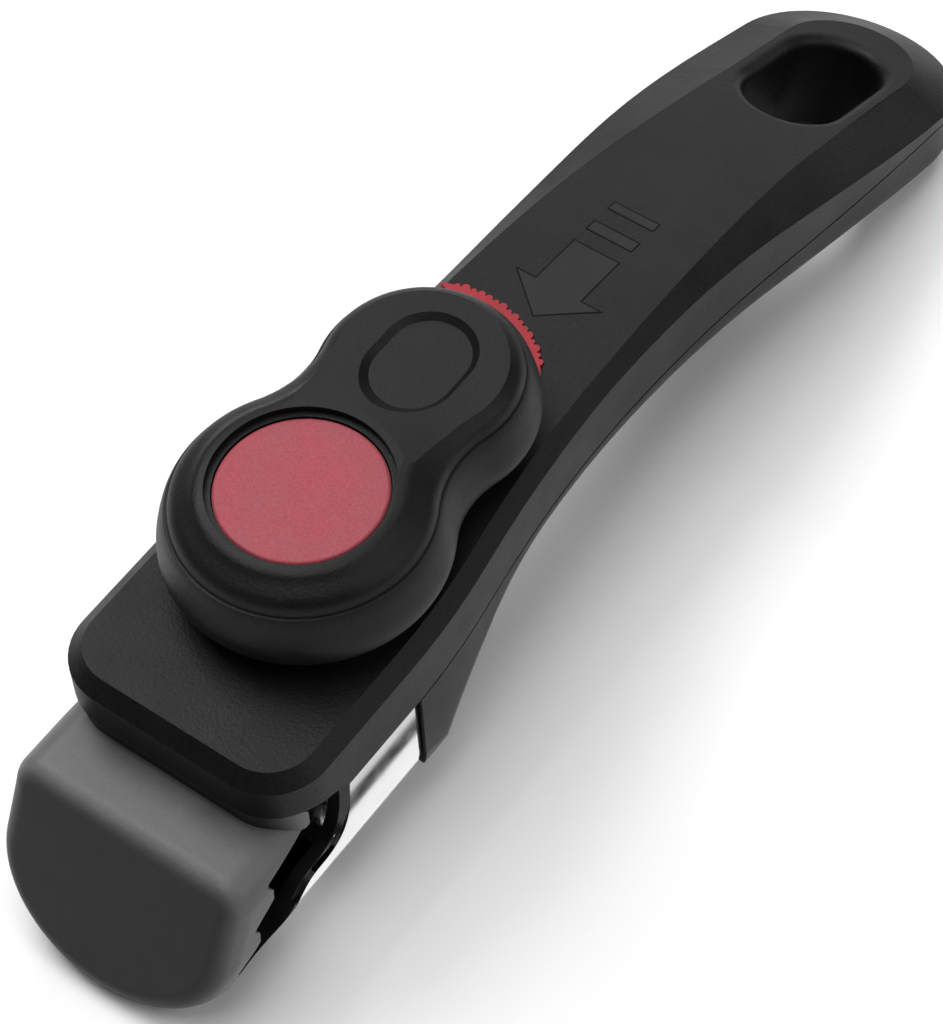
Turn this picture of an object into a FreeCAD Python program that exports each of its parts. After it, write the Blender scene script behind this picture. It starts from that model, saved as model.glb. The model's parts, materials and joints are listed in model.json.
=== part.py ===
import FreeCAD, Part
import math
import os

from FreeCAD import Vector

# A hand-held can opener: an arched two-shell handle, a head with a pear-shaped turning knob,
# a push button that opens a toothed front jaw, and a cutter beside the drive wheel below.
# Millimetres. +X runs towards the handle's tail, +Z is up, the table is at Z = 0.

# Knob axis and stack heights
KNOB_X = -55.5
KNOB_BOTTOM = 48.0
KNOB_TOP = 64.3
BUTTON_TOP = 62.8
BIG_R = 22.3
SMALL_R = 18.0
SMALL_OFFSET = 29.3
WAIST_R = 16.0
SHOULDER = 59.2
PLATEAU = 62.4
DIMPLE = 0.9
DISH_X0 = -28.6
DISH_X1 = -24.2
DISH_HALF = 7.6
DISH_FLARE = 1.2
BUTTON_R = 13.15

# Outline of the shells seen from above
FRONT_X = -92.0
TAIL_X = 114.7
HEAD_HALF = 22.9
CORNER_R = 10.0
WALL = 2.4

# Side view of the shells
HEAD_TOP = 44.2
SHELL_EDGE = 31.6
TOP_ARCH_START = -10.0
TOP_ARCH_R = 222.0
TAIL_SLOPE = math.radians(20.2)
PARTING_START = -25.0
PARTING_R = 440.0
BELLY_START = -22.0
BELLY_TOP = 24.8
BELLY_R = 300.0
BELLY_BEND = 79.0
BELLY_FLOOR = 12.4
THROAT = 27.0
HEEL_R = 25.0
TOP_CHAMFER = 2.4
GROOVE = 0.35
BROW_EDGE = 35.2
BROW_FRONT = -87.0
BROW_REAR = -77.4
# Side facets along the handle: place, inner half width, outer half width, drop
FACET = [
    (-18.0, 16.9, 19.0, 2.1),
    (4.0, 15.0, 17.5, 2.5),
    (28.0, 14.0, 18.3, 2.5),
    (52.0, 12.8, 19.5, 2.6),
    (76.0, 12.1, 20.2, 2.8),
    (97.0, 12.0, 20.3, 2.9),
]

# Hanging slot
SLOT_X0 = 71.0
SLOT_X1 = 100.6
SLOT_HALF = 8.9

# Chrome head body: straight sides over half an ellipse
BODY_HALF = 22.1
BODY_MID_Z = 16.8
BODY_WALL = 1.0
BODY_REAR = -60.0
BAY_FRONT = -80.0
BAY_ROOF = 10.7

# Front jaw
CHIN_X = -117.4
BROW_X = -102.3
JAW_TOP = 30.8
NECK_TOP = 34.2
JAW_WALL = 3.4
JAW_PIN_X = -86.8
JAW_PIN_Z = 35.5
JAW_PIN_R = 1.5

# Drive line
SHAFT_R = 4.0
RUN = 0.06
WHEEL_R = 6.0
WHEEL_Z = 6.2
WHEEL_T = 3.6
WHEEL_TEETH = 20

# Cutter arm at rest, swung clear of the drive wheel
ARM_PIN_X = -70.95
ARM_PIN_Y = 12.5
ARM_PIN_R = 2.0
AXLE_X = -72.2
AXLE_SWING = 2.5
CUTTER_R = 7.5

# Frame
FRAME_Z = 28.6
FRAME_T = 2.0
BASE_Z = 10.8
BASE_T = 1.5
POST_SPOTS = [(-76.5, 14.6), (-76.5, -14.6), (-49.0, 14.6), (-49.0, -14.6)]
SCREW_R = 1.4
HANDLE_SCREWS = [14.0, 48.0]


def save(name, shape):
    shape.exportStep("parts/" + name + ".step")


def box(x0, x1, y0, y1, z0, z1):
    return Part.makeBox(x1 - x0, y1 - y0, z1 - z0, Vector(x0, y0, z0))


def rod(r, z0, z1, x=KNOB_X, y=0.0):
    return Part.makeCylinder(r, z1 - z0, Vector(x, y, z0))


def ring(r_out, r_in, z0, z1, x=KNOB_X, y=0.0):
    return rod(r_out, z0, z1, x, y).cut(rod(r_in, z0 - 1.0, z1 + 1.0, x, y))


def cross_rod(r, x, z, y0, y1):
    return Part.makeCylinder(r, y1 - y0, Vector(x, y0, z), Vector(0, 1, 0))


def side_prism(edges, half):
    """Extrude a closed side-view outline across the width, from -half to +half."""
    face = Part.Face(Part.Wire(edges))
    return face.extrude(Vector(0, 2.0 * half, 0))


def side_polygon(points, half):
    corners = [Vector(x, -half, z) for x, z in points]
    corners.append(corners[0])
    return Part.Face(Part.makePolygon(corners)).extrude(Vector(0, 2.0 * half, 0))


def curve_through(points):
    spline = Part.BSplineCurve()
    spline.interpolate(points)
    return spline.toShape()


def union(shapes):
    whole = shapes[0]
    for shape in shapes[1:]:
        whole = whole.fuse(shape)
    return whole.removeSplitter()


# ---------------------------------------------------------------- plan outlines

FLANK = [(-62.0, 22.9), (-40.0, 21.1), (2.0, 17.5), (45.0, 19.2), (95.5, 20.4)]
TAIL_R = 22.5


def arc(a, b, c):
    return Part.Arc(a, b, c).toShape()


def smooth_arc(p, q, heading):
    """Arc from p to q that leaves p along heading, or a line where heading points at q."""
    gap = q - p
    chord = Vector(gap).normalize()
    lean = heading - chord * heading.dot(chord)
    if lean.Length < 1e-4:
        return Part.makeLine(p, q)
    sagitta = lean * (0.5 * gap.Length / (1.0 + heading.dot(chord)))
    return arc(p, (p + q) * 0.5 + sagitta, q)


def turned(p, q, heading):
    """Heading at the far end of the arc from p to q."""
    chord = (q - p).normalize()
    return chord * (2.0 * heading.dot(chord)) - heading


def flank_nodes():
    """Points and headings along one side, from the front to the tail, tangent all the way."""
    spots = [(FRONT_X, 0.0), (FRONT_X, HEAD_HALF - CORNER_R), (FRONT_X + CORNER_R, HEAD_HALF)]
    spots = [Vector(x, y, 0) for x, y in spots + FLANK]
    heading = Vector(0, 1, 0)
    nodes = [(spots[0], heading)]
    for p, q in zip(spots[:-1], spots[1:]):
        heading = turned(p, q, heading)
        nodes.append((q, heading))
    last = spots[-1]
    inward = Vector(heading.y, -heading.x, 0)
    tip_centre = Vector(TAIL_X - TAIL_R, 0, 0)
    gap = last - tip_centre
    corner = (TAIL_R ** 2 - gap.dot(gap)) / (2.0 * (gap.dot(inward) + TAIL_R))
    corner_centre = last + inward * corner
    out = (corner_centre - tip_centre).normalize()
    nodes.append((tip_centre + out * TAIL_R, Vector(out.y, -out.x, 0)))
    nodes.append((Vector(TAIL_X, 0, 0), Vector(0, -1, 0)))
    return nodes


def shell_plan(inset, z0, z1):
    """The head and handle seen from above, drawn inset millimetres inside their outline."""
    edges = []
    for sign in (1.0, -1.0):
        places = []
        for point, heading in flank_nodes():
            spot = point + Vector(heading.y, -heading.x, 0) * inset
            places.append((Vector(spot.x, sign * spot.y, z0), Vector(heading.x, sign * heading.y, 0)))
        places[0][0].y = 0.0
        places[-1][0].y = 0.0
        edges += [smooth_arc(a[0], b[0], a[1]) for a, b in zip(places[:-1], places[1:])]
    wire = Part.Wire(Part.__sortEdges__(edges))
    return Part.Face(wire).extrude(Vector(0, 0, z1 - z0))


def stadium(x0, x1, half, z0, z1, y=0.0):
    a = x0 + half
    b = x1 - half
    body = rod(half, z0, z1, a, y).fuse(rod(half, z0, z1, b, y))
    return body.fuse(box(a, b, y - half, y + half, z0, z1)).removeSplitter()


def pear(inset, z0, z1):
    """The knob's outline: two discs joined by hollow tangent flanks."""
    r1 = BIG_R - inset
    r2 = SMALL_R - inset
    rw = WAIST_R + inset
    reach1 = r1 + rw
    reach2 = r2 + rw
    cx = (reach1 ** 2 - reach2 ** 2 + SMALL_OFFSET ** 2) / (2.0 * SMALL_OFFSET)
    cy = math.sqrt(reach1 ** 2 - cx ** 2)
    t1 = Vector(KNOB_X + cx * r1 / reach1, cy * r1 / reach1, z0)
    x2 = SMALL_OFFSET + (cx - SMALL_OFFSET) * r2 / reach2
    t2 = Vector(KNOB_X + x2, cy * r2 / reach2, z0)
    dip = Vector(KNOB_X + cx, cy - rw, z0)

    def low(p):
        return Vector(p.x, -p.y, p.z)

    nose = Vector(KNOB_X + SMALL_OFFSET + r2, 0, z0)
    back = Vector(KNOB_X - r1, 0, z0)
    edges = [
        Part.Arc(t1, dip, t2).toShape(),
        Part.Arc(t2, nose, low(t2)).toShape(),
        Part.Arc(low(t2), low(dip), low(t1)).toShape(),
        Part.Arc(low(t1), back, t1).toShape(),
    ]
    return Part.Face(Part.Wire(edges)).extrude(Vector(0, 0, z1 - z0))


# ---------------------------------------------------------------- side profiles

def arch(x, start, top, radius):
    """Height of a line that is level up to start and then bends down on a circle."""
    if x <= start:
        return top
    return top - radius + math.sqrt(radius ** 2 - (x - start) ** 2)


def line(x0, z0, x1, z1, y):
    return Part.makeLine(Vector(x0, y, z0), Vector(x1, y, z1))


def arch_arc(start, top, radius, end, y):
    mid = 0.5 * (start + end)
    return Part.Arc(
        Vector(start, y, top),
        Vector(mid, y, arch(mid, start, top, radius)),
        Vector(end, y, arch(end, start, top, radius)),
    ).toShape()


def above_parting(drop):
    """Side profile between the parting line and the top line lowered by drop."""
    y = -40.0
    x0 = FRONT_X - 20.0
    x1 = TAIL_X + 20.0
    radius = TOP_ARCH_R - drop
    bend = TOP_ARCH_START + radius * math.sin(TAIL_SLOPE)
    top = HEAD_TOP - drop
    bend_z = arch(bend, TOP_ARCH_START, top, radius)
    end_z = bend_z - (x1 - bend) * math.tan(TAIL_SLOPE)
    low_z = arch(x1, PARTING_START, SHELL_EDGE, PARTING_R)
    edges = [
        line(x0, SHELL_EDGE, x0, top, y),
        line(x0, top, TOP_ARCH_START, top, y),
        arch_arc(TOP_ARCH_START, top, radius, bend, y),
        line(bend, bend_z, x1, end_z, y),
        line(x1, end_z, x1, low_z, y),
        arch_arc(PARTING_START, SHELL_EDGE, PARTING_R, x1, y),
        line(PARTING_START, SHELL_EDGE, x0, SHELL_EDGE, y),
    ]
    return side_prism(Part.__sortEdges__(edges), 40.0)


def belly(raise_by):
    """Side profile between the underside raised by raise_by and the parting line."""
    y = -40.0
    x0 = BODY_REAR + 0.4
    x1 = TAIL_X + 20.0
    radius = BELLY_R + raise_by
    top = BELLY_TOP + raise_by
    floor = BELLY_FLOOR + raise_by
    bend = BELLY_START + (BELLY_BEND - BELLY_START) * radius / BELLY_R
    bend_z = arch(bend, BELLY_START, top, radius)
    angle = math.asin((bend - BELLY_START) / radius)
    corner_x = bend + (bend_z - raise_by) / math.tan(angle)
    reach = HEEL_R * math.tan(0.5 * angle)
    heel_in = Vector(corner_x - reach * math.cos(angle), y, raise_by + reach * math.sin(angle))
    heel_out = Vector(corner_x + reach, y, raise_by)
    heel_mid_x = heel_out.x - HEEL_R * math.sin(0.5 * angle)
    heel_mid = Vector(heel_mid_x, y, raise_by + HEEL_R * (1.0 - math.cos(0.5 * angle)))
    drop = top - floor
    throat_r = (THROAT ** 2 + (BELLY_TOP - BELLY_FLOOR) ** 2) / (2.0 * (BELLY_TOP - BELLY_FLOOR))
    throat_r -= raise_by
    step = BELLY_START - math.sqrt(throat_r ** 2 - (throat_r - drop) ** 2)
    half = 0.5 * math.asin((BELLY_START - step) / throat_r)
    sweep_x = BELLY_START - throat_r * math.sin(half)
    sweep_z = top - throat_r * (1.0 - math.cos(half))
    high_z = arch(x1, PARTING_START, SHELL_EDGE, PARTING_R)
    edges = [
        line(x0, SHELL_EDGE, x0, floor, y),
        line(x0, floor, step, floor, y),
        arc(Vector(step, y, floor), Vector(sweep_x, y, sweep_z), Vector(BELLY_START, y, top)),
        arch_arc(BELLY_START, top, radius, bend, y),
        line(bend, bend_z, heel_in.x, heel_in.z, y),
        arc(heel_in, heel_mid, heel_out),
        line(heel_out.x, raise_by, x1, raise_by, y),
        line(x1, raise_by, x1, high_z, y),
        arch_arc(PARTING_START, SHELL_EDGE, PARTING_R, x1, y),
        line(PARTING_START, SHELL_EDGE, x0, SHELL_EDGE, y),
    ]
    return side_prism(Part.__sortEdges__(edges), 40.0)


def body_section(inset, x0, x1, top):
    """Prism of the head's U section: straight sides down to half an ellipse."""
    a = BODY_HALF - inset
    b = BODY_MID_Z - inset
    left = Vector(x0, -a, BODY_MID_Z)
    right = Vector(x0, a, BODY_MID_Z)
    oval = Part.Ellipse(right, Vector(x0, 0, BODY_MID_Z - b), Vector(x0, 0, BODY_MID_Z))
    disc = Part.Face(Part.Wire(oval.toShape())).extrude(Vector(x1 - x0, 0, 0))
    lower = disc.common(box(x0, x1, -40, 40, -10, BODY_MID_Z))
    upper = box(x0, x1, left.y, right.y, BODY_MID_Z, top)
    return lower.fuse(upper).removeSplitter()


# ---------------------------------------------------------------- shells

def top_edges(solid):
    """Edges round the top face: where a near-vertical wall meets the upper surface."""
    chosen = []
    for edge in solid.Edges:
        steep = 0
        level = 0
        for face in solid.ancestorsOfType(edge, Part.Face):
            u0, u1, v0, v1 = face.ParameterRange
            normal = face.normalAt(0.5 * (u0 + u1), 0.5 * (v0 + v1))
            if normal.z > 0.5:
                level += 1
            elif abs(normal.z) < 0.3:
                steep += 1
        if steep == 1 and level == 1:
            chosen.append(edge)
    return chosen


def bevel_section(x, inner, outer, drop, tilt):
    """Outline above the handle's sloping side facet at one place along it."""
    z = top_height(x)
    far = outer + 3.0
    low = z - drop * (far - inner) / (outer - inner)
    corners = [(inner, z), (far, low), (far, z + 6.0), (inner, z + 6.0), (inner, z)]
    wire = Part.makePolygon([Vector(x, y, height) for y, height in corners])
    wire.rotate(Vector(x, 0, z), Vector(0, 1, 0), math.degrees(tilt))
    return wire


def cut_side_facets(solid):
    """Pare the top edges into facets that widen along the handle and run round its tail."""
    for side in (1.0, -1.0):
        sections = []
        for x, inner, outer, drop in FACET:
            tilt = TAIL_SLOPE if x == FACET[-1][0] else 0.0
            wire = bevel_section(x, inner, outer, drop, tilt)
            if side < 0:
                wire = wire.mirror(Vector(0, 0, 0), Vector(0, 1, 0))
            sections.append(wire)
        solid = solid.cut(Part.makeLoft(sections, True, False))
    x, inner, outer, drop = FACET[-1]
    face = Part.Face(bevel_section(x, inner, outer, drop, TAIL_SLOPE))
    centre = Vector(x, 0, top_height(x))
    axis = Vector(math.sin(TAIL_SLOPE), 0, math.cos(TAIL_SLOPE))
    behind = box(x, x + 60.0, -40.0, 40.0, centre.z - 60.0, centre.z + 60.0)
    behind.rotate(centre, Vector(0, 1, 0), math.degrees(TAIL_SLOPE))
    back = solid.common(behind).cut(face.revolve(centre, axis, 360.0))
    return solid.cut(behind).fuse(back).removeSplitter()


def top_height(x):
    """Height of the handle's upper line."""
    bend = TOP_ARCH_START + TOP_ARCH_R * math.sin(TAIL_SLOPE)
    if x <= bend:
        return arch(x, TOP_ARCH_START, HEAD_TOP, TOP_ARCH_R)
    return arch(bend, TOP_ARCH_START, HEAD_TOP, TOP_ARCH_R) - (x - bend) * math.tan(TAIL_SLOPE)


def brow_relief():
    """Space under the head's front edge, where the shell stops short of the jaw."""
    y = -40.0
    step = Vector(BROW_REAR, y, SHELL_EDGE)
    crest = Vector(BROW_FRONT, y, BROW_EDGE)
    swell = Vector(0.5 * (BROW_REAR + BROW_FRONT) + 0.6, y, 0.5 * (SHELL_EDGE + BROW_EDGE) + 0.6)
    edges = [
        arc(step, swell, crest),
        line(crest.x, crest.z, -120.0, crest.z, y),
        line(-120.0, crest.z, -120.0, 20.0, y),
        line(-120.0, 20.0, step.x, 20.0, y),
        line(step.x, 20.0, step.x, step.z, y),
    ]
    return side_prism(edges, 40.0)


def slot_cutter(grow):
    """The hanging slot, square to the sloping top, grown all round."""
    x = 0.5 * (SLOT_X0 + SLOT_X1)
    reach = 0.5 * (SLOT_X1 - SLOT_X0) / math.cos(TAIL_SLOPE) + grow
    slot = stadium(x - reach, x + reach, SLOT_HALF + grow, -30.0, 60.0)
    slot.rotate(Vector(x, 0, top_height(x)), Vector(0, 1, 0), math.degrees(TAIL_SLOPE))
    return slot


def slot_rim(solid):
    """Edges where the hanging slot breaks through the upper surface."""
    chosen = []
    for edge in solid.Edges:
        middle = edge.valueAt(0.5 * (edge.FirstParameter + edge.LastParameter))
        beside = SLOT_X0 - 0.1 < middle.x < SLOT_X1 + 0.1 and abs(middle.y) < SLOT_HALF + 0.1
        if beside and abs(middle.z - top_height(middle.x)) < 0.1:
            chosen.append(edge)
    return chosen


def make_top_shell():
    outer = shell_plan(0.0, 0.0, 60.0).common(above_parting(0.0)).Solids[0]
    outer = outer.makeChamfer(TOP_CHAMFER, top_edges(outer))
    outer = cut_side_facets(outer).cut(brow_relief())
    core = shell_plan(WALL, 0.0, 60.0).common(above_parting(WALL + 0.6))
    shell = outer.cut(core)
    lip = slot_cutter(3.0).common(outer)
    shell = shell.fuse(lip).cut(slot_cutter(0.0))
    shell = round_rim(shell, slot_rim(shell), (2.2, 1.8, 1.2))
    bosses = [rod(3.6, FRAME_Z + FRAME_T, HEAD_TOP - 1.0, x, y) for x, y in POST_SPOTS]
    for x in HANDLE_SCREWS:
        z = arch(x, PARTING_START, SHELL_EDGE, PARTING_R)
        bosses.append(rod(3.4, z, z + 12.0, x, 0).common(outer))
    for side in (-1, 1):
        y0 = min(side * 15.2, side * 18.2)
        boss = box(FRONT_X + 3.0, -84.4, y0, y0 + 3.0, 33.6, HEAD_TOP - 2.2)
        bosses.append(boss.common(shell_plan(WALL + 0.5, 30.0, 60.0)))
    bosses.append(rod(12.4, HEAD_TOP - 1.0, 47.0))
    shell = union([shell] + bosses)
    shell = shell.cut(rod(9.0, 30.0, 60.0))
    for x, y in POST_SPOTS:
        shell = shell.cut(rod(SCREW_R, 20.0, 38.2, x, y))
    for x in HANDLE_SCREWS:
        z = arch(x, PARTING_START, SHELL_EDGE, PARTING_R)
        shell = shell.cut(rod(SCREW_R, 0.0, z + 8.2, x, 0))
    shell = shell.cut(cross_rod(JAW_PIN_R, JAW_PIN_X, JAW_PIN_Z, -19.0, 19.0))
    return shell.cut(marker(0.0))


def marker(shrink):
    """Red crescent let into the handle's top face, with a knurled outer edge."""
    z = HEAD_TOP - 1.6
    tip_a = Vector(-1.2, 15.9 - shrink, z)
    tip_b = Vector(-7.7, -8.4 + shrink, z)
    outer = Part.Arc(tip_a, Vector(0.3 - shrink, 4.2, z), tip_b)
    inner = Part.Arc(tip_b, Vector(-5.2 + shrink, 4.0, z), tip_a).toShape()
    crescent = Part.Face(Part.Wire([outer.toShape(), inner])).extrude(Vector(0, 0, 2.0))
    count = 19
    for i in range(2, count - 1):
        share = i / count
        spot = outer.value(outer.FirstParameter + share * (outer.LastParameter - outer.FirstParameter))
        knurl = 0.62 + 0.16 * math.sin(2.6 * i)
        crescent = crescent.fuse(rod(knurl - shrink, z, z + 2.0, spot.x, spot.y))
    return crescent.removeSplitter()


def underside_edges(solid):
    """Edges where the side walls turn into the underside, behind the head."""
    chosen = []
    for edge in solid.Edges:
        tilts = []
        for face in solid.ancestorsOfType(edge, Part.Face):
            u0, u1, v0, v1 = face.ParameterRange
            tilts.append(face.normalAt(0.5 * (u0 + u1), 0.5 * (v0 + v1)).z)
        upright = min(abs(t) for t in tilts) < 0.2
        if upright and min(tilts) < -0.3 and max(tilts) < 0.3 and edge.BoundBox.XMin > -51.0:
            chosen.append(edge)
    return chosen


def round_rim(solid, edges, radii):
    """Round the edges with the first radius that gives a sound solid."""
    for radius in radii:
        try:
            soft = solid.makeFillet(radius, edges)
        except Part.OCCError:
            continue
        if soft.isValid():
            return soft
    return solid


def parting_groove():
    """Fine shadow line all round, just under the joint between the two shells."""
    rim = box(-70.0, TAIL_X + 5.0, -40.0, 40.0, 0.0, 40.0).cut(shell_plan(GROOVE, 0.0, 60.0))
    upper = above_parting(0.0)
    upper.translate(Vector(0, 0, -GROOVE))
    return rim.common(upper)


def make_lower_shell():
    outer = shell_plan(0.0, -5.0, 60.0).common(belly(0.0)).Solids[0]
    outer = round_rim(outer, underside_edges(outer), (7.0, 6.0, 5.5, 5.0, 4.0))
    cradle = body_section(-0.8, BODY_REAR - 5.0, BELLY_START, 60.0)
    outer = outer.common(cradle.fuse(box(BELLY_START, TAIL_X + 5.0, -40.0, 40.0, -5.0, 60.0)))
    core = shell_plan(WALL + 0.8, -5.0, 60.0).common(belly(WALL + 0.4))
    core = core.fuse(box(BODY_REAR - 1.0, BODY_REAR + 4.0, -19.7, 19.7, BELLY_FLOOR + 2.8, 40.0))
    shell = outer.cut(core)
    lip = slot_cutter(3.0).common(outer)
    shell = shell.fuse(lip).cut(slot_cutter(0.0)).cut(parting_groove())
    for x in HANDLE_SCREWS:
        shell = shell.fuse(rod(4.2, 0.0, 60.0, x, 0).common(outer))
    for x in HANDLE_SCREWS:
        shell = shell.cut(rod(SCREW_R + 0.2, -5.0, 60.0, x, 0))
        shell = shell.cut(rod(2.9, -5.0, belly_height(x) + 2.8, x, 0))
    shell = shell.cut(rod(9.6, 0.0, 20.0))
    for x, y in POST_SPOTS:
        shell = shell.cut(rod(2.7, 0.0, 20.0, x, y))
    return shell.removeSplitter()


def belly_height(x):
    return arch(x, BELLY_START, BELLY_TOP, BELLY_R)


def make_handle_screws():
    screws = []
    for x in HANDLE_SCREWS:
        seat = belly_height(x) + 2.8
        shank = rod(SCREW_R, seat, arch(x, PARTING_START, SHELL_EDGE, PARTING_R) + 8.0, x, 0)
        head = rod(2.7, seat - 1.8, seat, x, 0)
        screws.append(shank.fuse(head).cut(rod(1.1, seat - 2.0, seat - 0.8, x, 0)))
    return Part.makeCompound(screws)


# ---------------------------------------------------------------- head body and jaws

WAVE = [(-76.4, 31.4), (-76.9, 26.6), (-77.7, 22.4), (-79.8, 19.0), (-83.2, 17.6), (-87.4, 17.2)]
WAVE = WAVE + [(-90.2, 15.2), (-92.2, 12.0), (-95.4, 10.2), (-99.4, 10.0), (-103.6, 12.4)]


def wave_front(ahead):
    """Everything in front of and above the wavy edge, moved ahead towards the jaw."""
    y = -40.0
    points = [Vector(x - ahead, y, z) for x, z in WAVE]
    last = points[-1]
    edges = [
        curve_through(points),
        line(last.x, last.z, last.x, -4.0, y),
        line(last.x, -4.0, -140.0, -4.0, y),
        line(-140.0, -4.0, -140.0, 40.0, y),
        line(-140.0, 40.0, points[0].x, 40.0, y),
        line(points[0].x, 40.0, points[0].x, points[0].z, y),
    ]
    return side_prism(Part.__sortEdges__(edges), 40.0)


def make_head_body():
    outer = body_section(0.0, -112.0, BODY_REAR, SHELL_EDGE - 0.1)
    hollow = body_section(BODY_WALL, -113.0, BODY_REAR + 1.0, 40.0)
    body = outer.cut(hollow).cut(wave_front(0.0))
    body = body.cut(box(-140.0, -91.2, -40, 40, -5.0, 40.0))
    return body.cut(box(BAY_FRONT, BODY_REAR + 5.0, -40, 40, -5.0, BAY_ROOF))


def make_rear_jaw():
    outer = body_section(BODY_WALL, -112.0, -80.6, SHELL_EDGE - 0.1)
    hollow = body_section(BODY_WALL + 2.2, -113.0, -83.0, 40.0)
    wall = outer.cut(hollow)
    upper = body_section(BODY_WALL, -83.0, -70.0, SHELL_EDGE - 0.1)
    upper = upper.cut(body_section(BODY_WALL + 2.2, -84.0, -69.0, 40.0))
    upper = upper.common(box(-84.0, -69.0, -40, 40, 19.0, 40.0))
    jaw = wall.fuse(upper)
    chin = body_section(0.0, -112.0, -91.4, 18.5).cut(hollow)
    return jaw.fuse(chin).cut(wave_front(1.3)).removeSplitter()


TEETH = [(-96.0, 27.6), (-100.2, 20.8), (-104.8, 14.2)]


def jaw_profile():
    """Side view of the front jaw: sloping face, ledge, neck, and claws down the rear edge."""
    points = [(BROW_X, JAW_TOP), (CHIN_X, 0.0), (-105.4, 0.0), (-105.4, 11.4)]
    for x, z in reversed(TEETH):
        if z > TEETH[-1][1]:
            points += [(x - 0.9, z - 5.0), (x + 0.2, z - 4.3), (x + 0.4, z - 2.0)]
        points += [(x - 0.2, z - 1.1), (x - 0.6, z - 0.5), (x, z)]
    points += [(-86.0, 29.3), (-85.4, 30.0), (-85.4, NECK_TOP - 1.0), (-86.4, NECK_TOP)]
    return points + [(-92.6, NECK_TOP), (-92.6, JAW_TOP)]


def jaw_blank():
    """The head's section with soft upper corners, and the neck that goes up under the shell."""
    block = body_section(0.0, -125.0, -80.0, JAW_TOP)
    corners = []
    for edge in block.Edges:
        bound = edge.BoundBox
        if bound.ZMin > JAW_TOP - 0.01 and bound.XLength > 40.0:
            corners.append(edge)
    block = round_rim(block, corners, (5.0, 4.0, 3.0))
    neck = shell_plan(0.8, 25.0, NECK_TOP).cut(shell_plan(2.4, 20.0, 40.0))
    neck = neck.common(box(-100.0, -80.0, -40.0, 40.0, 25.0, NECK_TOP))
    return block.fuse(neck)


def make_front_jaw():
    jaw = jaw_blank().common(side_polygon(jaw_profile(), 40.0))
    inner = body_section(JAW_WALL, -125.0, -80.0, JAW_TOP - 2.6)
    slope = (BROW_X - CHIN_X) / JAW_TOP
    lean = JAW_WALL * math.hypot(1.0, slope)
    rear_of_face = [
        (BROW_X + lean, JAW_TOP),
        (CHIN_X + lean, 0.0),
        (-60.0, 0.0),
        (-60.0, JAW_TOP),
    ]
    jaw = jaw.cut(inner.common(side_polygon(rear_of_face, 40.0)))
    rims = []
    for edge in jaw.Edges:
        middle = edge.valueAt(0.5 * (edge.FirstParameter + edge.LastParameter))
        spots = [v.Point for v in edge.Vertexes] + [middle]
        on_face = all(abs(p.x - BROW_X + (JAW_TOP - p.z) * slope) < 0.05 for p in spots)
        if on_face and middle.z > 0.05:
            rims.append(edge)
    jaw = round_rim(jaw, rims, (4.0, 3.4, 2.8, 2.2, 1.6))
    ears = []
    for side in (-1, 1):
        y0 = min(side * 11.6, side * 14.6)
        ears.append(box(-89.3, -84.3, y0, y0 + 3.0, JAW_TOP - 2.0, 36.0))
        ears.append(cross_rod(2.5, JAW_PIN_X, JAW_PIN_Z, y0, y0 + 3.0))
    jaw = union([jaw] + ears)
    jaw = jaw.cut(cross_rod(JAW_PIN_R + RUN, JAW_PIN_X, JAW_PIN_Z, -30.0, 30.0))
    for y in (-6.0, 6.0):
        jaw = jaw.cut(rod(1.0, 20.0, 40.0, -87.2, y))
    return jaw


def make_jaw_lever():
    side = [(-88.6, JAW_TOP), (-81.6, JAW_TOP), (-72.0, 36.0), (-50.6, 36.0)]
    side += [(-50.6, 37.6), (-72.5, 37.6), (-82.0, JAW_TOP + 1.6), (-88.6, JAW_TOP + 1.6)]
    lever = side_polygon(side, 8.8)
    lever = lever.cut(box(-64.0, -40.0, -5.3, 5.3, 30.0, 45.0)).cut(rod(5.3, 30.0, 45.0, -64.0, 0))
    for y0 in (-8.0, 5.5):
        lever = lever.fuse(cross_rod(1.3, KNOB_X, 37.6, y0, y0 + 2.5))
    for y in (-6.0, 6.0):
        lever = lever.cut(rod(1.0, 20.0, 40.0, -87.2, y))
    return lever.removeSplitter()


def make_lever_rivets():
    rivets = []
    for y in (-6.0, 6.0):
        shank = rod(1.0, JAW_TOP - 2.6, JAW_TOP + 1.6, -87.2, y)
        head = rod(1.5, JAW_TOP - 3.2, JAW_TOP - 2.6, -87.2, y)
        rivets.append(shank.fuse(head))
    return Part.makeCompound(rivets)


def coil(radius, wire, pitch, height, place, axis_y=False):
    """A round-wire helical spring standing on place."""
    path = Part.makeLongHelix(pitch, height, radius)
    start = Vector(radius, 0, 0)
    section = Part.Wire(Part.Circle(start, Vector(0, 1, 0), wire).toShape())
    spring = Part.Wire(path).makePipeShell([section], True, True)
    if axis_y:
        spring.rotate(Vector(0, 0, 0), Vector(1, 0, 0), -90.0)
    spring.translate(place)
    return spring


# ---------------------------------------------------------------- frame and drive line

def make_frame_plate():
    plate = box(-79.4, -45.2, -17.7, 17.7, FRAME_Z, FRAME_Z + FRAME_T)
    corners = [e for e in plate.Edges if abs(e.tangentAt(e.FirstParameter).z) > 0.9]
    plate = plate.makeFillet(4.0, corners).cut(rod(6.0, 0.0, 60.0))
    for x, y in POST_SPOTS:
        plate = plate.cut(rod(SCREW_R + 0.1, 0.0, 60.0, x, y))
    return plate


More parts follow.
